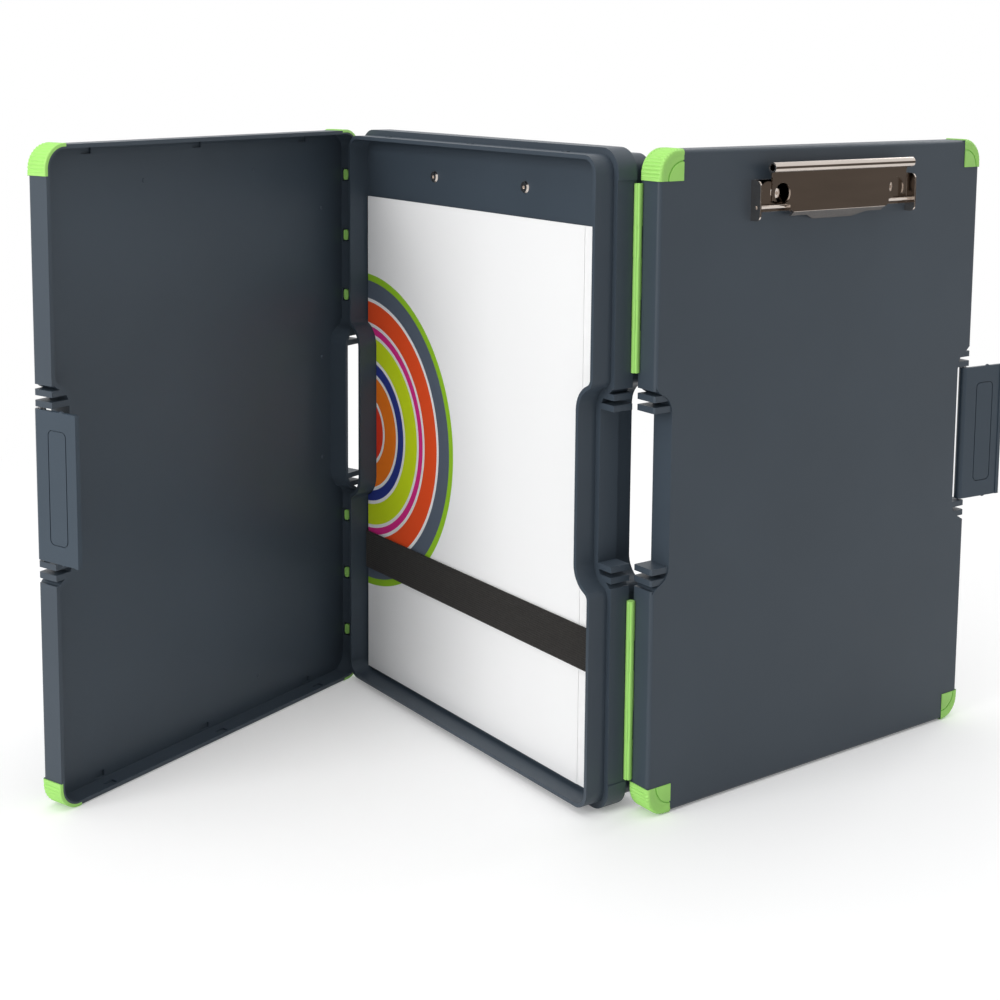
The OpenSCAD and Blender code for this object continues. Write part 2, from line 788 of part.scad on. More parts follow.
on_right_lid() knuckles(true, true);  // right_lid_knuckles_upper
on_right_lid() knuckles(false, true);  // right_lid_knuckles_lower
rotate([0, 0, 180]) knuckles(true, false);  // right_frame_knuckles_upper
rotate([0, 0, 180]) knuckles(false, false);  // right_frame_knuckles_lower
rotate([0, 0, 180]) hinge_pin(true);  // right_hinge_pin_upper
rotate([0, 0, 180]) hinge_pin(false);  // right_hinge_pin_lower
on_left_lid() swung(left_latch_open) latch();  // left_latch
on_left_lid() latch_pin();  // left_latch_pin
on_right_lid() swung(right_latch_open) latch();  // right_latch
on_right_lid() latch_pin();  // right_latch_pin
on_outer_clip() clip_base();  // outer_clip_base
on_outer_clip() clip_lever(outer_roll_z);  // outer_clip_lever
on_outer_clip() clip_rod();  // outer_clip_rod
on_outer_clip() clip_spring();  // outer_clip_spring
on_outer_clip() clip_rivets(lid_floor, washer_t);  // outer_clip_rivets
on_outer_clip() clip_washers();  // outer_clip_washers
on_inner_clip() clip_base();  // inner_clip_base
on_inner_clip() clip_lever(inner_roll_z);  // inner_clip_lever
on_inner_clip() clip_rod();  // inner_clip_rod
on_inner_clip() clip_spring();  // inner_clip_spring
on_inner_clip() clip_rivets(panel_t, 0);  // inner_clip_rivets
elastic_strap();
strap_keepers();
strap_rivets();
paper_pile();
front_sheet();
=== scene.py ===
"""Two-sided storage clipboard, standing open on a pale studio floor. Metres, in the CAD frame."""
import json
import math

import bmesh
import bpy
from mathutils import Matrix, Vector

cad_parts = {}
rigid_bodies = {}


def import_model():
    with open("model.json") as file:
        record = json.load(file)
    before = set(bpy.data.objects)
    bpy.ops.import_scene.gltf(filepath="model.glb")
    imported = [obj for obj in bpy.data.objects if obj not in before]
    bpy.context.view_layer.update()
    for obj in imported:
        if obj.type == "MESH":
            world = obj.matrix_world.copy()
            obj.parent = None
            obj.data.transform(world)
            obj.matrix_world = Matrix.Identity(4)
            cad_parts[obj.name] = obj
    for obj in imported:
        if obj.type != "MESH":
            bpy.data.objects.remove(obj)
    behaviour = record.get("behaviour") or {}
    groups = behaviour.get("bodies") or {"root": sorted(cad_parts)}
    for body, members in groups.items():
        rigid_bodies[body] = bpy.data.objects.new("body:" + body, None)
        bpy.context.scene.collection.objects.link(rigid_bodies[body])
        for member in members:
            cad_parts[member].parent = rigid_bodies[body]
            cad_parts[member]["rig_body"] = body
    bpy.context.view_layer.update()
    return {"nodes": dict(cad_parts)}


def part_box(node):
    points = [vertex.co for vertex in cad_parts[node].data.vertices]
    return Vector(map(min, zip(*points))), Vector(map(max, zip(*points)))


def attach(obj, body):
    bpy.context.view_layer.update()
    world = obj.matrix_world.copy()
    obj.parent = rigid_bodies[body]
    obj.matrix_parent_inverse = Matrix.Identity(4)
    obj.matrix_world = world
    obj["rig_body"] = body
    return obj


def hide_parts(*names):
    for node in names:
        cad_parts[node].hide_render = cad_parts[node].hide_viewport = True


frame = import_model()
nodes = frame["nodes"]
MM = 0.001


# ---- Node-based materials ----

def srgb(red, green, blue):
    """Linear colour of an 8-bit sRGB colour."""
    def linear(v):
        v /= 255
        return v / 12.92 if v <= 0.04045 else ((v + 0.055) / 1.055) ** 2.4
    return (linear(red), linear(green), linear(blue), 1.0)


def scaled(colour, factor):
    return tuple(min(1.0, c * factor) for c in colour[:3]) + (1.0,)


class Surface:
    """A material with a Principled shader, built up by its methods."""

    def __init__(self, name, **sockets):
        self.material = bpy.data.materials.new(name)
        self.material.use_nodes = True
        self.tree = self.material.node_tree
        self.shader = self.tree.nodes["Principled BSDF"]
        self.coords = self.add("ShaderNodeTexCoord").outputs["Object"]
        for socket, value in sockets.items():
            self.shader.inputs[socket.replace("_", " ")].default_value = value

    def add(self, kind, **settings):
        node = self.tree.nodes.new(kind)
        for key, value in settings.items():
            setattr(node, key, value)
        return node

    def link(self, source, target):
        self.tree.links.new(source, target)

    def noise(self, scale, detail=3.0, stretch=(1, 1, 1)):
        mapping = self.add("ShaderNodeMapping")
        mapping.inputs["Scale"].default_value = stretch
        self.link(self.coords, mapping.inputs["Vector"])
        texture = self.add("ShaderNodeTexNoise")
        texture.inputs["Scale"].default_value = scale
        texture.inputs["Detail"].default_value = detail
        self.link(mapping.outputs["Vector"], texture.inputs["Vector"])
        return texture.outputs["Fac"]

    def wave(self, pitch, axis):
        """A sine that repeats every pitch metres along X, Y or Z."""
        texture = self.add("ShaderNodeTexWave", bands_direction=axis)
        texture.inputs["Scale"].default_value = math.pi / (10 * pitch)
        self.link(self.coords, texture.inputs["Vector"])
        return texture.outputs["Fac"]

    def ramp(self, value, stops, constant=False):
        ramp = self.add("ShaderNodeValToRGB")
        ramp.color_ramp.interpolation = "CONSTANT" if constant else "LINEAR"
        elements = ramp.color_ramp.elements
        while len(elements) < len(stops):
            elements.new(0.5)
        for element, (position, colour) in zip(elements, stops):
            element.position, element.color = position, colour
        self.link(value, ramp.inputs["Fac"])
        return ramp.outputs["Color"]

    def vary(self, value, low, high, colour):
        """Colour that runs from low to high times colour."""
        self.link(self.ramp(value, [(0.3, scaled(colour, low)), (0.7, scaled(colour, high))]),
                  self.shader.inputs["Base Color"])
        return self

    def rough(self, value, low, high):
        """Roughness that runs from low to high."""
        limits = self.add("ShaderNodeMapRange")
        limits.inputs["To Min"].default_value = low
        limits.inputs["To Max"].default_value = high
        self.link(value, limits.inputs["Value"])
        self.link(limits.outputs["Result"], self.shader.inputs["Roughness"])
        return self

    def bump(self, value, depth):
        node = self.add("ShaderNodeBump")
        node.inputs["Distance"].default_value = depth
        self.link(value, node.inputs["Height"])
        self.link(node.outputs["Normal"], self.shader.inputs["Normal"])
        return self


def moulded(name, colour, roughness, grain=0.00003):
    """Moulded plastic with a faint flow mottle and a fine satin grain."""
    surface = Surface(name, Specular_IOR_Level=0.32)
    surface.vary(surface.noise(14), 0.95, 1.05, colour)
    surface.rough(surface.noise(60), roughness - 0.05, roughness + 0.06)
    surface.bump(surface.noise(2600, detail=2.0), grain)
    return surface


def polished(name, colour, roughness):
    surface = Surface(name, Metallic=1.0)
    surface.vary(surface.noise(30, stretch=(1, 1, 6)), 0.94, 1.04, colour)
    surface.rough(surface.noise(250, stretch=(1, 1, 12)), roughness * 0.7, roughness * 1.5)
    return surface


SLATE = srgb(60, 70, 80)
LIME = srgb(167, 226, 117)
WHITE = srgb(248, 248, 248)
case_plastic = moulded("case_plastic", SLATE, 0.42)
latch_plastic = moulded("latch_plastic", srgb(55, 68, 80), 0.38)
lime_plastic = moulded("lime_plastic", LIME, 0.4)
lime_rubber = moulded("lime_rubber", LIME, 0.5)
# Two lit and shaded copies of one plated steel: a dark one with a painted dark reflection for the clips'
# flats, and a light one with a painted highlight for their bends, edges, rivets and rods.
chrome_painted_dark_reflection = polished("chrome_painted_dark_reflection", srgb(74, 64, 56), 0.09)
chrome_painted_highlight = polished("chrome_painted_highlight", srgb(206, 196, 188), 0.12)
pin_steel = polished("pin_steel", srgb(150, 150, 152), 0.25)

strap_cloth = Surface("strap_cloth", Sheen_Weight=0.1, Specular_IOR_Level=0.2)
strap_cloth.vary(strap_cloth.noise(900), 0.75, 1.25, srgb(40, 38, 36))
strap_cloth.rough(strap_cloth.noise(400), 0.8, 0.95)
strap_cloth.bump(strap_cloth.wave(0.0012, "Z"), 0.0001)

plain_paper = Surface("plain_paper", Specular_IOR_Level=0.3)
plain_paper.vary(plain_paper.noise(200), 0.98, 1.01, WHITE)
plain_paper.rough(plain_paper.noise(300), 0.55, 0.7)

for name, node in nodes.items():
    surface = case_plastic
    if "bumper" in name:
        surface = lime_rubber
    elif "knuckles" in name:
        surface = lime_plastic
    elif "latch_pin" in name or "hinge_pin" in name:
        surface = pin_steel
    elif "rivets" in name or name.endswith("_rod"):
        # Rivets and rods take the light chrome copy, with a painted highlight.
        surface = chrome_painted_highlight
    elif "clip" in name:
        # The clips take the dark chrome copy, with a painted dark reflection; their bends and edges get the
        # painted highlight in finished().
        surface = chrome_painted_dark_reflection
    elif name.endswith("_latch"):
        surface = latch_plastic
    elif name in ("paper_pile", "front_sheet"):
        surface = plain_paper
    elif name == "elastic_strap":
        surface = strap_cloth
    node.data.materials.clear()
    node.data.materials.append(surface.material)


# ---- Sizes that follow the part's, in metres, for a left lid drawn shut ----

CASE_W, CASE_H, CORNER_R = 230 * MM, 325 * MM, 12 * MM
# Depths of the lid's rim, of its outer face and of the bumpers' cap over that face.
RIM_Y, FACE_Y, CAP_Y, CAP_UNDER_Y = -6.0 * MM, -19.0 * MM, -19.5 * MM, -18.5 * MM
LID_INSET, LID_WALL, LID_FLOOR, LID_EDGE_R = 0.6 * MM, 2 * MM, 1.6 * MM, 2 * MM
BUMPER_H, BUMPER_WALL = 15 * MM, 1.6 * MM
BUMPER_W = {"hinge": 15 * MM, "free": 13 * MM}
# The hinge's axis, and how far each lid stands open at rest, in degrees.
AXIS_X, AXIS_Y = -116 * MM, -5.7 * MM
REST_OPEN = {"left": 70, "right": 90}
# A strip starts this far from the case's middle; its knuckles have a tab towards the wall.
STRIP_FROM, STRIP_L, KNUCKLE_R, FRAME_KNUCKLE_L = 55.973 * MM, 90.027 * MM, 2 * MM, 15 * MM
TAB_NEAR, TAB_T, TAB_REACH = 0.4 * MM, 0.8 * MM, 2.6 * MM
# The pad in the wall's window and the neck that holds it, measured from the axis.
PAD_X, PAD_END, PAD_FROM = 2.2 * MM, 3.6 * MM, 7 * MM
PAD_W, PAD_H, PAD_R = 3.2 * MM, 6 * MM, 1.3 * MM
NECK_T, NECK_H = 0.8 * MM, 2 * MM
# The groove along a strip: its depth, place round the axis and half-width.
STRIP_GROOVE, STRIP_GROOVE_AT, STRIP_GROOVE_HALF = 0.45 * MM, math.radians(138), math.radians(20)
# Places of the snaps' pockets along the lid, their width, height, depth range and gap to the wall.
SNAP_POCKETS = (37 * MM, 120 * MM, 195 * MM)
POCKET_W, POCKET_H, POCKET_GAP = 6 * MM, 3.2 * MM, 0.6 * MM
POCKET_FROM, POCKET_TO = FACE_Y + 0.5 * MM, FACE_Y + 3 * MM


def lid_frame(side):
    """Where the drawing of a shut left lid goes for the lid of this side at rest."""
    swing = (Matrix.Translation((AXIS_X, AXIS_Y, 0)) @ Matrix.Rotation(-math.radians(REST_OPEN[side]), 4, "Z")
             @ Matrix.Translation((-AXIS_X, -AXIS_Y, 0)))
    return swing if side == "left" else Matrix.Rotation(math.pi, 4, "Z") @ swing


def place(piece, name):
    """The piece stands for a CAD node and moves with its body."""
    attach(piece, nodes[name]["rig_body"])
    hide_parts(name)


def new_object(name, mesh, material):
    piece = bpy.data.objects.new(name, mesh)
    bpy.context.scene.collection.objects.link(piece)
    mesh.materials.clear()
    mesh.materials.append(material)
    return piece


def mesh_from(work, name, sharp=35):
    """A mesh of the bmesh, smooth but for edges over an angle in degrees."""
    bmesh.ops.recalc_face_normals(work, faces=work.faces)
    for face in work.faces:
        face.smooth = True
    mesh = bpy.data.meshes.new(name)
    work.to_mesh(mesh)
    work.free()
    mesh.set_sharp_from_angle(angle=math.radians(sharp))
    return mesh


def add_box(work, low, high):
    """A box between two corners."""
    size = [b - a for a, b in zip(low, high)]
    middle = [(a + b) / 2 for a, b in zip(low, high)]
    bmesh.ops.create_cube(work, size=1, matrix=Matrix.Translation(middle) @ Matrix.Diagonal((*size, 1)))


def join_outlines(work, start, end):
    """A closed solid between two outlines of the same number of points."""
    low, high = ([work.verts.new(point) for point in outline] for outline in (start, end))
    work.faces.new(low[::-1])
    work.faces.new(high)
    for a in range(len(low)):
        b = (a + 1) % len(low)
        work.faces.new((low[a], low[b], high[b], high[a]))


def cut(mesh, cutter_work):
    """The mesh with the cutter's solids taken out."""
    body = bpy.data.objects.new("cut_body", mesh)
    cutter_mesh = bpy.data.meshes.new("cutter")
    bmesh.ops.recalc_face_normals(cutter_work, faces=cutter_work.faces)
    cutter_work.to_mesh(cutter_mesh)
    cutter_work.free()
    cutter = bpy.data.objects.new("cutter", cutter_mesh)
    for helper in (body, cutter):
        bpy.context.scene.collection.objects.link(helper)
    boolean = body.modifiers.new("cut", "BOOLEAN")
    boolean.operation, boolean.solver, boolean.object = "DIFFERENCE", "EXACT", cutter
    depsgraph = bpy.context.evaluated_depsgraph_get()
    result = bpy.data.meshes.new_from_object(body.evaluated_get(depsgraph))
    for helper in (body, cutter):
        bpy.data.objects.remove(helper)
    return result


# ---- Finished pieces: the CAD shapes with moulded or rolled edges ----

# Facets are merged within these, and edges over EDGE_ANGLE are rounded in EDGE_STEPS.
MERGE_WITHIN, FACET_ANGLE, EDGE_ANGLE, EDGE_STEPS = 0.005 * MM, math.radians(0.5), math.radians(40), 3
# A clip's faces whose normals lie within the share set below of these directions are its flats and take the
# chrome with a painted dark reflection; its bends and edges take a lighter copy with a painted highlight.
PAINTED_DARK_FLAT_SHARE = 0.97
CLIP_PAINTED_DARK_FLATS = {
    "outer_clip_base": Vector((1, 0, 0)), "outer_clip_lever": Vector((1, 0, 0)),
    "inner_clip_base": Vector((0, 1, 0)), "inner_clip_lever": Vector((0, 1, 0)),
}


def finished(name, radius, cutter=None):
    """A copy of a CAD node with its facets merged and its edges rounded to a radius in millimetres."""
    source = nodes[name]
    mesh = source.data.copy()
    if cutter:
        mesh = cut(mesh, cutter)
    work = bmesh.new()
    work.from_mesh(mesh)
    bmesh.ops.remove_doubles(work, verts=work.verts, dist=MERGE_WITHIN)
    bmesh.ops.dissolve_limit(work, angle_limit=FACET_ANGLE, verts=work.verts, edges=work.edges)
    mesh = mesh_from(work, name + "_finished")
    piece = new_object(name + "_finished", mesh, source.data.materials[0])
    painted_reflection_axis = CLIP_PAINTED_DARK_FLATS.get(name)
    if painted_reflection_axis:
        # Second slot: the lighter chrome copy with a painted highlight, for the faces off the flats.
        mesh.materials.append(chrome_painted_highlight.material)
        for face in mesh.polygons:
            face.material_index = int(abs(face.normal.dot(painted_reflection_axis)) < PAINTED_DARK_FLAT_SHARE)
    bevel = piece.modifiers.new("edges", "BEVEL")
    bevel.width, bevel.segments = radius * MM, EDGE_STEPS
    bevel.limit_method, bevel.angle_limit = "ANGLE", EDGE_ANGLE
    bevel.harden_normals = True
    # On a clip the bevels' rounds take the painted highlight too.
    bevel.material = 1 if painted_reflection_axis else -1
    piece.modifiers.new("even_shading", "WEIGHTED_NORMAL").keep_sharp = True
    place(piece, name)


# How far each piece's edges are rounded, in millimetres.
EDGE_RADII = {
    "middle_frame": 0.5, "left_latch": 0.3, "right_latch": 0.3, "outer_clip_base": 0.2,
    "outer_clip_lever": 0.2, "inner_clip_base": 0.2, "inner_clip_lever": 0.2, "strap_keepers": 0.3,
}
for name, radius in EDGE_RADII.items():
    finished(name, radius)


def quarter_turn(steps):
    """Angles from 0 to 90 degrees, both ends included."""
    return [math.pi / 2 * k / steps for k in range(steps + 1)]


def round_off(work, start, end, inward):
    """Adds a cutter that rounds the outer face's edge from start to end, given as (x, z) places."""
    spare = 0.6 * MM
    section = [(-spare, -spare), (LID_EDGE_R, -spare)]
    section += [(LID_EDGE_R * (1 - math.sin(a)), LID_EDGE_R * (1 - math.cos(a))) for a in quarter_turn(10)]
    section.append((-spare, LID_EDGE_R))
    join_outlines(work, *([(x + inward[0] * d, FACE_Y + e, z + inward[1] * d) for d, e in section]
                          for x, z in (start, end)))


def lid_cutter(side):
    """Rounds the outer edges between the bumpers and sinks the snaps' pockets into the floor."""
    work = bmesh.new()
    foot = LID_INSET + LID_WALL + POCKET_GAP
    for u in SNAP_POCKETS:
        x = -CASE_W / 2 + u
        for low in (foot, CASE_H - foot - POCKET_H):
            add_box(work, (x - POCKET_W / 2, POCKET_FROM, low), (x + POCKET_W / 2, POCKET_TO, low + POCKET_H))
    gap = 0.2 * MM
    bottom, top = BUMPER_H + gap, CASE_H - BUMPER_H - gap
    for x, inward in ((-CASE_W / 2 + LID_INSET, 1), (CASE_W / 2 - LID_INSET, -1)):
        round_off(work, (x, bottom), (x, top), (inward, 0))
    hinge, free = -CASE_W / 2 + BUMPER_W["hinge"] + gap, CASE_W / 2 - BUMPER_W["free"] - gap
    for z, up in ((LID_INSET, 1), (CASE_H - LID_INSET, -1)):
        round_off(work, (hinge, z), (free, z), (0, up))
    work.transform(lid_frame(side))
    return work


for side in ("left", "right"):
    finished(side + "_lid", 0.5, cutter=lid_cutter(side))


# ---- Hinge strips: knuckles with a tab towards the wall, and the pads in the lid's windows ----

def strip_start(upper):
    return CASE_H / 2 + (STRIP_FROM if upper else -STRIP_FROM - STRIP_L)


def knuckle_span(i):
    """Start and length of a knuckle along its strip; the lid holds the even ones."""
    lid_l = (STRIP_L - 2 * FRAME_KNUCKLE_L) / 3
    start = math.ceil(i / 2) * lid_l + (i // 2) * FRAME_KNUCKLE_L
    return start, (lid_l if i % 2 == 0 else FRAME_KNUCKLE_L)


def add_pad(work, middle):
    """The pad with rounded corners that shows in a window of the lid's wall."""
    half, high_y = PAD_H / 2 - PAD_R, AXIS_Y - PAD_FROM - PAD_R
    low_y = high_y - PAD_W + 2 * PAD_R
    outline = []
    for quarter, (y, z) in enumerate(((high_y, half), (low_y, half), (low_y, -half), (high_y, -half))):
        for a in (quarter * math.pi / 2 + b for b in quarter_turn(6)):
            outline.append((y + PAD_R * math.cos(a), middle + z + PAD_R * math.sin(a)))
    join_outlines(work, *([(AXIS_X + x, y, z) for y, z in outline] for x in (PAD_X, PAD_END)))


def knuckle_profile(turn):
    """A grooved round with its tab; turn is 1 for the frame's knuckles and -1 for the lid's."""
    near = math.asin(TAB_NEAR / KNUCKLE_R)
    far = math.asin((TAB_NEAR + TAB_T) / KNUCKLE_R)
    steps = 144
    profile = []
    for k in range(steps + 1):
        a = near - (2 * math.pi - far + near) * k / steps
        share = max(0.0, 1 - abs(a + 2 * math.pi - STRIP_GROOVE_AT) / STRIP_GROOVE_HALF)
        radius = KNUCKLE_R - STRIP_GROOVE * share
        profile.append((radius * math.cos(a), radius * math.sin(a)))
    profile += [(TAB_REACH, TAB_NEAR + TAB_T), (TAB_REACH, TAB_NEAR)]
    return [(AXIS_X + x, AXIS_Y + turn * y) for x, y in profile]


def make_knuckles(side, upper, to_lid):
    work = bmesh.new()
    profile = knuckle_profile(-1 if to_lid else 1)
    gap, shy = 0.03 * MM, 0.05 * MM
    for i in (0, 2, 4) if to_lid else (1, 3):
        start, length = knuckle_span(i)
        low = strip_start(upper) + start
        join_outlines(work, *([(x, y, z) for x, y in profile] for z in (low + gap, low + length - gap)))
        if to_lid:
            middle = low + length / 2
            add_box(work, (AXIS_X + TAB_REACH - shy, AXIS_Y - PAD_FROM - MM, middle - NECK_H / 2),
                    (AXIS_X + PAD_X + NECK_T, AXIS_Y - TAB_NEAR - shy, middle + NECK_H / 2))
            add_pad(work, middle)
    if to_lid:
        work.transform(lid_frame(side))
    elif side == "right":
        work.transform(Matrix.Rotation(math.pi, 4, "Z"))
    owner = "lid" if to_lid else "frame"
    name = f"{side}_{owner}_knuckles_{'upper' if upper else 'lower'}"
    place(new_object(name + "_strip", mesh_from(work, name), lime_plastic.material), name)


for side in ("left", "right"):
    for upper in (True, False):
        for to_lid in (True, False):
            make_knuckles(side, upper, to_lid)


# ---- Corner bumpers: ribbed sides, a raised border, a rounded edge and a quarter-round button ----

RIB_PITCH, RIB_DEEP, RIB_FADE, RIB_STEPS = 1.9 * MM, 0.6 * MM, 0.25 * MM, 8
# A plain border this wide runs round the ribs and the cap; SLOPE is the width of its slopes.
BORDER, SLOPE, CAP_SINK = 1.2 * MM, 0.3 * MM, 0.25 * MM
# The button at the corner, its rounded edge (across and deep) and the groove round it.
BUTTON_R, BUTTON_EDGE, GROOVE = 9 * MM, (0.4 * MM, 0.2 * MM), 0.75 * MM
EDGE_R = 1.8 * MM


def corner_path(width, height):
    """Points and inward normals along the outline round a corner, with the distance run."""
    arc = CORNER_R * math.pi / 2
    total = (height - CORNER_R) + arc + (width - CORNER_R)
    count = round(total / RIB_PITCH * RIB_STEPS)
    for k in range(count + 1):
        run = total * k / count
        left = run - (height - CORNER_R)
        if left <= 0:
            yield (0, height - run), (1, 0), run, total
        elif left < arc:
            a = left / CORNER_R
            point = (CORNER_R * (1 - math.cos(a)), CORNER_R * (1 - math.sin(a)))
            yield point, (math.cos(a), math.sin(a)), run, total
        else:
            yield (CORNER_R + left - arc, 0), (0, 1), run, total


def rib(run, total):
    """Depth of the ribs' grooves, which stop short of both ends."""
    fade = max(0.0, min(1.0, (min(run, total - run) - BORDER) / RIB_FADE))
    return RIB_DEEP * fade * (0.5 - 0.5 * math.cos(2 * math.pi * run / RIB_PITCH))


def bumper_column(point, inward, run, total, corner):
    """One cross-section from the button's centre over the cap, down the side and back inside."""
    edge = Vector(point) + EDGE_R * Vector(inward)
    away = edge - corner
    reach, way = away.length, away.normalized()
    column = []

    def on_cap(distance, y):
        column.append((*(corner + distance * way), y))

    def on_side(inset, y):
        column.append((*(Vector(point) + inset * Vector(inward)), y))

    sunk_y = CAP_Y + CAP_SINK
    for distance, y in ((0, CAP_Y), (BUTTON_R - BUTTON_EDGE[0], CAP_Y), (BUTTON_R, CAP_Y + BUTTON_EDGE[1]),
                        (BUTTON_R, CAP_Y + GROOVE), (BUTTON_R + GROOVE, CAP_Y + GROOVE),
                        (BUTTON_R + GROOVE, sunk_y), (reach - BORDER, sunk_y),
                        (reach - BORDER + SLOPE, CAP_Y), (reach, CAP_Y)):
        on_cap(distance, y)
    groove = rib(run, total)
    for turn in quarter_turn(5)[1:]:
        out, down = math.sin(turn), 1 - math.cos(turn)
        on_side(EDGE_R * (1 - out) + groove * out ** 2, CAP_Y + EDGE_R * down)
    for inset, y in ((groove, RIM_Y - BORDER - SLOPE), (0, RIM_Y - BORDER), (0, RIM_Y - SLOPE),
                     (SLOPE, RIM_Y), (BUMPER_WALL, RIM_Y), (BUMPER_WALL, CAP_UNDER_Y)):
        on_side(inset, y)
    on_cap(0, CAP_UNDER_Y)
    return column


def make_bumper(side, across, end):
    width, height = BUMPER_W[across], BUMPER_H
    corner = Vector((width, height))
    sx, sz = (-1 if across == "hinge" else 1), (1 if end == "top" else -1)
    work = bmesh.new()
    grid = []
    for point, inward, run, total in corner_path(width, height):
        column = bumper_column(point, inward, run, total, corner)
        grid.append([work.verts.new((sx * (CASE_W / 2 - u), y, CASE_H / 2 + sz * (CASE_H / 2 - v)))
                     for u, v, y in column])
    for first, second in zip(grid, grid[1:]):
        for k in range(len(first) - 1):
            work.faces.new((first[k], first[k + 1], second[k + 1], second[k]))
    work.faces.new(grid[0])
    work.faces.new(grid[-1])
    bmesh.ops.remove_doubles(work, verts=work.verts, dist=0.001 * MM)
    work.transform(lid_frame(side))
    name = f"{side}_bumper_{across}_{end}"
    place(new_object(name + "_ribbed", mesh_from(work, name, sharp=50), lime_rubber.material), name)


for side in ("left", "right"):
    for across in ("hinge", "free"):
        for end in ("top", "bottom"):
            make_bumper(side, across, end)


# ---- Moulding pips on the left lid's floor ----

# Their distances from the hinge side and from the bottom, in millimetres.
PIPS = ((157.7, 303.6), (77.1, 305.1), (20.4, 280.4), (20.4, 193.9), (20.4, 134.9), (77.1, 20))
PIP_TALL, PIP_R, PIP_TOP_R = 0.4 * MM, 1.1 * MM, 0.77 * MM


def make_pips():
    work = bmesh.new()
    middle_y = FACE_Y + LID_FLOOR + PIP_TALL / 2
    for u, z in PIPS:
        turned = (Matrix.Translation((-CASE_W / 2 + u * MM, middle_y, z * MM))
                  @ Matrix.Rotation(math.pi / 2, 4, "X"))
        bmesh.ops.create_cone(work, cap_ends=True, segments=24, radius1=PIP_TOP_R, radius2=PIP_R,
                              depth=PIP_TALL, matrix=turned)
    work.transform(lid_frame("left"))
    pips = new_object("left_lid_pips", mesh_from(work, "left_lid_pips"), case_plastic.material)
    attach(pips, nodes["left_lid"]["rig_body"])


make_pips()


# ---- Strap, with rounded corners and soft edges ----

STRAP_T, STRAP_BEND_R, STRAP_TURNED_IN, STRAP_COLUMNS = 1 * MM, 1.6 * MM, 11 * MM, 12


def strap_path():
    """The band's middle line in the XY plane, from one turned-in end to the other."""
    low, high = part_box("elastic_strap")
    side_x, back_y = low.x + STRAP_T / 2, high.y - STRAP_T / 2
    half = [(low.x + STRAP_TURNED_IN, back_y), (side_x, back_y)]
    for turn in quarter_turn(6):
        half.append((side_x + STRAP_BEND_R * (1 - math.cos(turn)),
                     low.y + STRAP_BEND_R - (STRAP_BEND_R - STRAP_T / 2) * math.sin(turn)))
    return half + [(-x, y) for x, y in reversed(half)]


def make_strap():
    low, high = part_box("elastic_strap")
    heights = [low.z + (high.z - low.z) * j / STRAP_COLUMNS for j in range(STRAP_COLUMNS + 1)]
    work = bmesh.new()
    grid = [[work.verts.new((x, y, z)) for z in heights] for x, y in strap_path()]
    for first, second in zip(grid, grid[1:]):
        for j in range(STRAP_COLUMNS):
            work.faces.new((first[j], second[j], second[j + 1], first[j + 1]))
    for face in work.faces:
        face.smooth = True
    mesh = bpy.data.meshes.new("strap_band")
    work.to_mesh(mesh)
    work.free()
    band = new_object("strap_band", mesh, strap_cloth.material)
    solid = band.modifiers.new("thickness", "SOLIDIFY")
    solid.thickness, solid.offset = STRAP_T * 0.95, 0
    edge = band.modifiers.new("edge", "BEVEL")
    edge.width, edge.segments = 0.3 * MM, 2
    place(band, "elastic_strap")


make_strap()


# ---- Printed front sheet: round bands in the print's colours, in a layout of their own ----

# Each ring starts at this share of PRINT_R from the centre.
PRINT = [
    (0.00, WHITE), (0.10, srgb(232, 60, 32)), (0.20, WHITE), (0.22, srgb(250, 128, 28)),
    (0.34, WHITE), (0.36, srgb(44, 58, 140)), (0.42, WHITE), (0.44, srgb(214, 236, 30)),
    (0.56, WHITE), (0.58, srgb(226, 46, 140)), (0.62, WHITE), (0.64, srgb(242, 84, 36)),
    (0.76, WHITE), (0.78, srgb(88, 98, 112)), (0.88, srgb(150, 200, 40)), (0.92, WHITE),
]
PRINT_X, PRINT_Z, PRINT_R = -0.112, 0.150, 0.1


def printed_paper():
    """Rings of colour about a point just past the sheet's left edge."""
    surface = Surface("printed_paper", Specular_IOR_Level=0.35)
    shift = surface.add("ShaderNodeMapping")
    shift.inputs["Location"].default_value = (-PRINT_X / PRINT_R, 0, -PRINT_Z / PRINT_R)
    shift.inputs["Scale"].default_value = (1 / PRINT_R, 0, 1 / PRINT_R)
    surface.link(surface.coords, shift.inputs["Vector"])
    length = surface.add("ShaderNodeVectorMath", operation="LENGTH")
    surface.link(shift.outputs["Vector"], length.inputs[0])
    rings = surface.ramp(length.outputs["Value"], PRINT, constant=True)
    surface.link(rings, surface.shader.inputs["Base Color"])
    surface.rough(surface.noise(300), 0.4, 0.5)
    return surface


SHEETS, SHEET_T, SHEET_DROP = 5, 0.14 * MM, 0.4 * MM
# Slant of the pile's first sheet, in metres across for each metre up, and where the sheets' tops begin.
SHEET_SLANT, SHEET_TOP_Z = 0.012, 0.2


def add_sheet(name, source, surface, behind=0.0, drop=0.0, slant=0.0):
    """A thin sheet with the CAD outline, set back from its front, its top lowered, its right edge slanted."""
    mesh = nodes[source].data.copy()
    low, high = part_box(source)
    for vertex in mesh.vertices:
        at_back = vertex.co.y >= (low.y + high.y) / 2
        vertex.co.y = low.y + behind + (SHEET_T if at_back else 0)
        if vertex.co.x > 0:
            vertex.co.x -= slant * (vertex.co.z - low.z)
        if vertex.co.z > SHEET_TOP_Z:
            vertex.co.z -= drop
    place(new_object(name, mesh, surface.material), source)


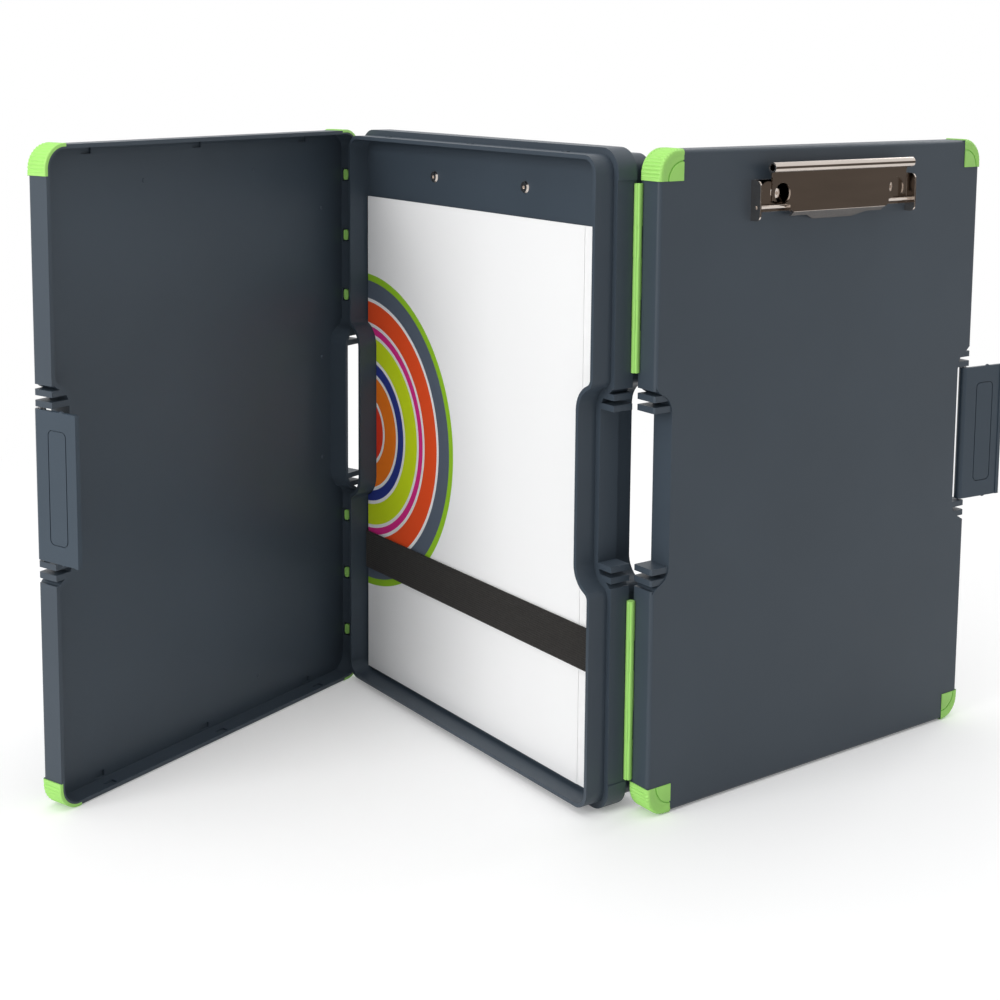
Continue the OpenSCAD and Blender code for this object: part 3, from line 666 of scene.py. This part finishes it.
add_sheet("front_sheet_printed", "front_sheet", printed_paper(), behind=0.05 * MM)
low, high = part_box("paper_pile")
for i in range(SHEETS):
    add_sheet(f"pile_sheet_{i + 1}", "paper_pile", plain_paper, behind=i * (high.y - low.y) / SHEETS,
              drop=(i % 3) * SHEET_DROP, slant=SHEET_SLANT * (1 - i / SHEETS))


# ---- Camera, fitted to the photograph's edges ----

CAMERA_AT, LENS, SHIFT_UP = (0.7091, -0.5022, 0.3665), 59.96, -0.235
# Turned left from the Y axis, tipped down from level and rolled, in radians.
CAMERA_TURN, CAMERA_DOWN, CAMERA_ROLL = math.radians(54.166), 0.1241, 0.0086


def make_camera():
    data = bpy.data.cameras.new("camera")
    data.sensor_width, data.lens, data.shift_y, data.clip_end = 36, LENS, SHIFT_UP, 50
    camera = bpy.data.objects.new("camera", data)
    bpy.context.scene.collection.objects.link(camera)
    camera.matrix_world = (Matrix.Translation(CAMERA_AT) @ Matrix.Rotation(CAMERA_TURN, 4, "Z")
                           @ Matrix.Rotation(math.pi / 2 - CAMERA_DOWN, 4, "X")
                           @ Matrix.Rotation(CAMERA_ROLL, 4, "Z"))
    bpy.context.scene.camera = camera


make_camera()


# ---- Studio ----

# Light given off by the floor, only where it is seen, and the world's light on the object.
FLOOR_LIFT, WORLD_LIGHT = 0.2, 0.36
FLOOR_HALF = 6
# The floor turns white between these distances from the object's middle.
WHITE_FROM, WHITE_BY = 0.3, 0.75


def seen_share(tree):
    """1 for what the camera sees, also in metal and glass, and 0 for the light on the object."""
    rays = tree.nodes.new("ShaderNodeLightPath")
    share = rays.outputs["Is Camera Ray"]
    for ray in ("Is Glossy Ray", "Is Transmission Ray"):
        most = tree.nodes.new("ShaderNodeMath")
        most.operation = "MAXIMUM"
        tree.links.new(share, most.inputs[0])
        tree.links.new(rays.outputs[ray], most.inputs[1])
        share = most.outputs["Value"]
    return share


def make_floor():
    """Pale floor that keeps the shadow and turns white away from the object."""
    mesh = bpy.data.meshes.new("floor")
    corners = [(x * FLOOR_HALF, y * FLOOR_HALF, 0) for x, y in ((-1, -1), (1, -1), (1, 1), (-1, 1))]
    mesh.from_pydata(corners, [], [(0, 1, 2, 3)])
    floor = bpy.data.objects.new("floor", mesh)
    bpy.context.scene.collection.objects.link(floor)
    surface = Surface("floor", Specular_IOR_Level=0.2)
    surface.vary(surface.noise(3), 0.99, 1.01, srgb(240, 240, 240))
    surface.rough(surface.noise(8), 0.55, 0.65)
    tree = surface.tree
    seen = seen_share(tree)
    distance = surface.add("ShaderNodeVectorMath", operation="LENGTH")
    surface.link(surface.coords, distance.inputs[0])
    far = surface.add("ShaderNodeMapRange", interpolation_type="SMOOTHSTEP")
    far.inputs["From Min"].default_value = WHITE_FROM
    far.inputs["From Max"].default_value = WHITE_BY
    surface.link(distance.outputs["Value"], far.inputs["Value"])
    lift = surface.add("ShaderNodeEmission")
    lift.inputs["Color"].default_value = (FLOOR_LIFT, FLOOR_LIFT, FLOOR_LIFT, 1)
    surface.link(seen, lift.inputs["Strength"])
    lifted = surface.add("ShaderNodeAddShader")
    surface.link(surface.shader.outputs["BSDF"], lifted.inputs[0])
    surface.link(lift.outputs["Emission"], lifted.inputs[1])
    white = surface.add("ShaderNodeEmission")
    seen_and_far = surface.add("ShaderNodeMath", operation="MULTIPLY")
    surface.link(seen, seen_and_far.inputs[0])
    surface.link(far.outputs["Result"], seen_and_far.inputs[1])
    mix = surface.add("ShaderNodeMixShader")
    surface.link(seen_and_far.outputs["Value"], mix.inputs["Fac"])
    surface.link(lifted.outputs["Shader"], mix.inputs[1])
    surface.link(white.outputs["Emission"], mix.inputs[2])
    surface.link(mix.outputs["Shader"], tree.nodes["Material Output"].inputs["Surface"])
    mesh.materials.append(surface.material)


def area_light(name, at, target, size, power):
    """A rectangular lamp of a power in watts that faces its target."""
    data = bpy.data.lights.new(name, "AREA")
    data.shape, data.size, data.size_y, data.energy = "RECTANGLE", size[0], size[1], power
    light = bpy.data.objects.new(name, data)
    bpy.context.scene.collection.objects.link(light)
    aim = Vector(target) - Vector(at)
    light.matrix_world = Matrix.Translation(at) @ aim.to_track_quat("-Z", "Y").to_matrix().to_4x4()


def make_world():
    """White where the camera looks past the object, and a softer grey as light on it."""
    world = bpy.data.worlds.new("studio")
    world.use_nodes = True
    tree = world.node_tree
    seen = tree.nodes["Background"]
    seen.inputs["Color"].default_value = (1, 1, 1, 1)
    seen.inputs["Strength"].default_value = 1.0
    light = tree.nodes.new("ShaderNodeBackground")
    light.inputs["Color"].default_value = (1, 1, 1, 1)
    light.inputs["Strength"].default_value = WORLD_LIGHT
    mix = tree.nodes.new("ShaderNodeMixShader")
    tree.links.new(seen_share(tree), mix.inputs["Fac"])
    tree.links.new(light.outputs["Background"], mix.inputs[1])
    tree.links.new(seen.outputs["Background"], mix.inputs[2])
    tree.links.new(mix.outputs["Shader"], tree.nodes["World Output"].inputs["Surface"])
    bpy.context.scene.world = world


make_floor()
make_world()
area_light("overhead", (0.0, -0.3, 2.4), (0, 0, 0), (3.0, 3.0), 35)
area_light("key", (0.05, -2.2, 0.95), (0, 0, 0.15), (1.2, 1.4), 28)
area_light("back", (-0.2, 2.3, 1.1), (0, 0, 0.15), (1.2, 1.4), 18)
bpy.context.scene.view_settings.view_transform = "Standard"
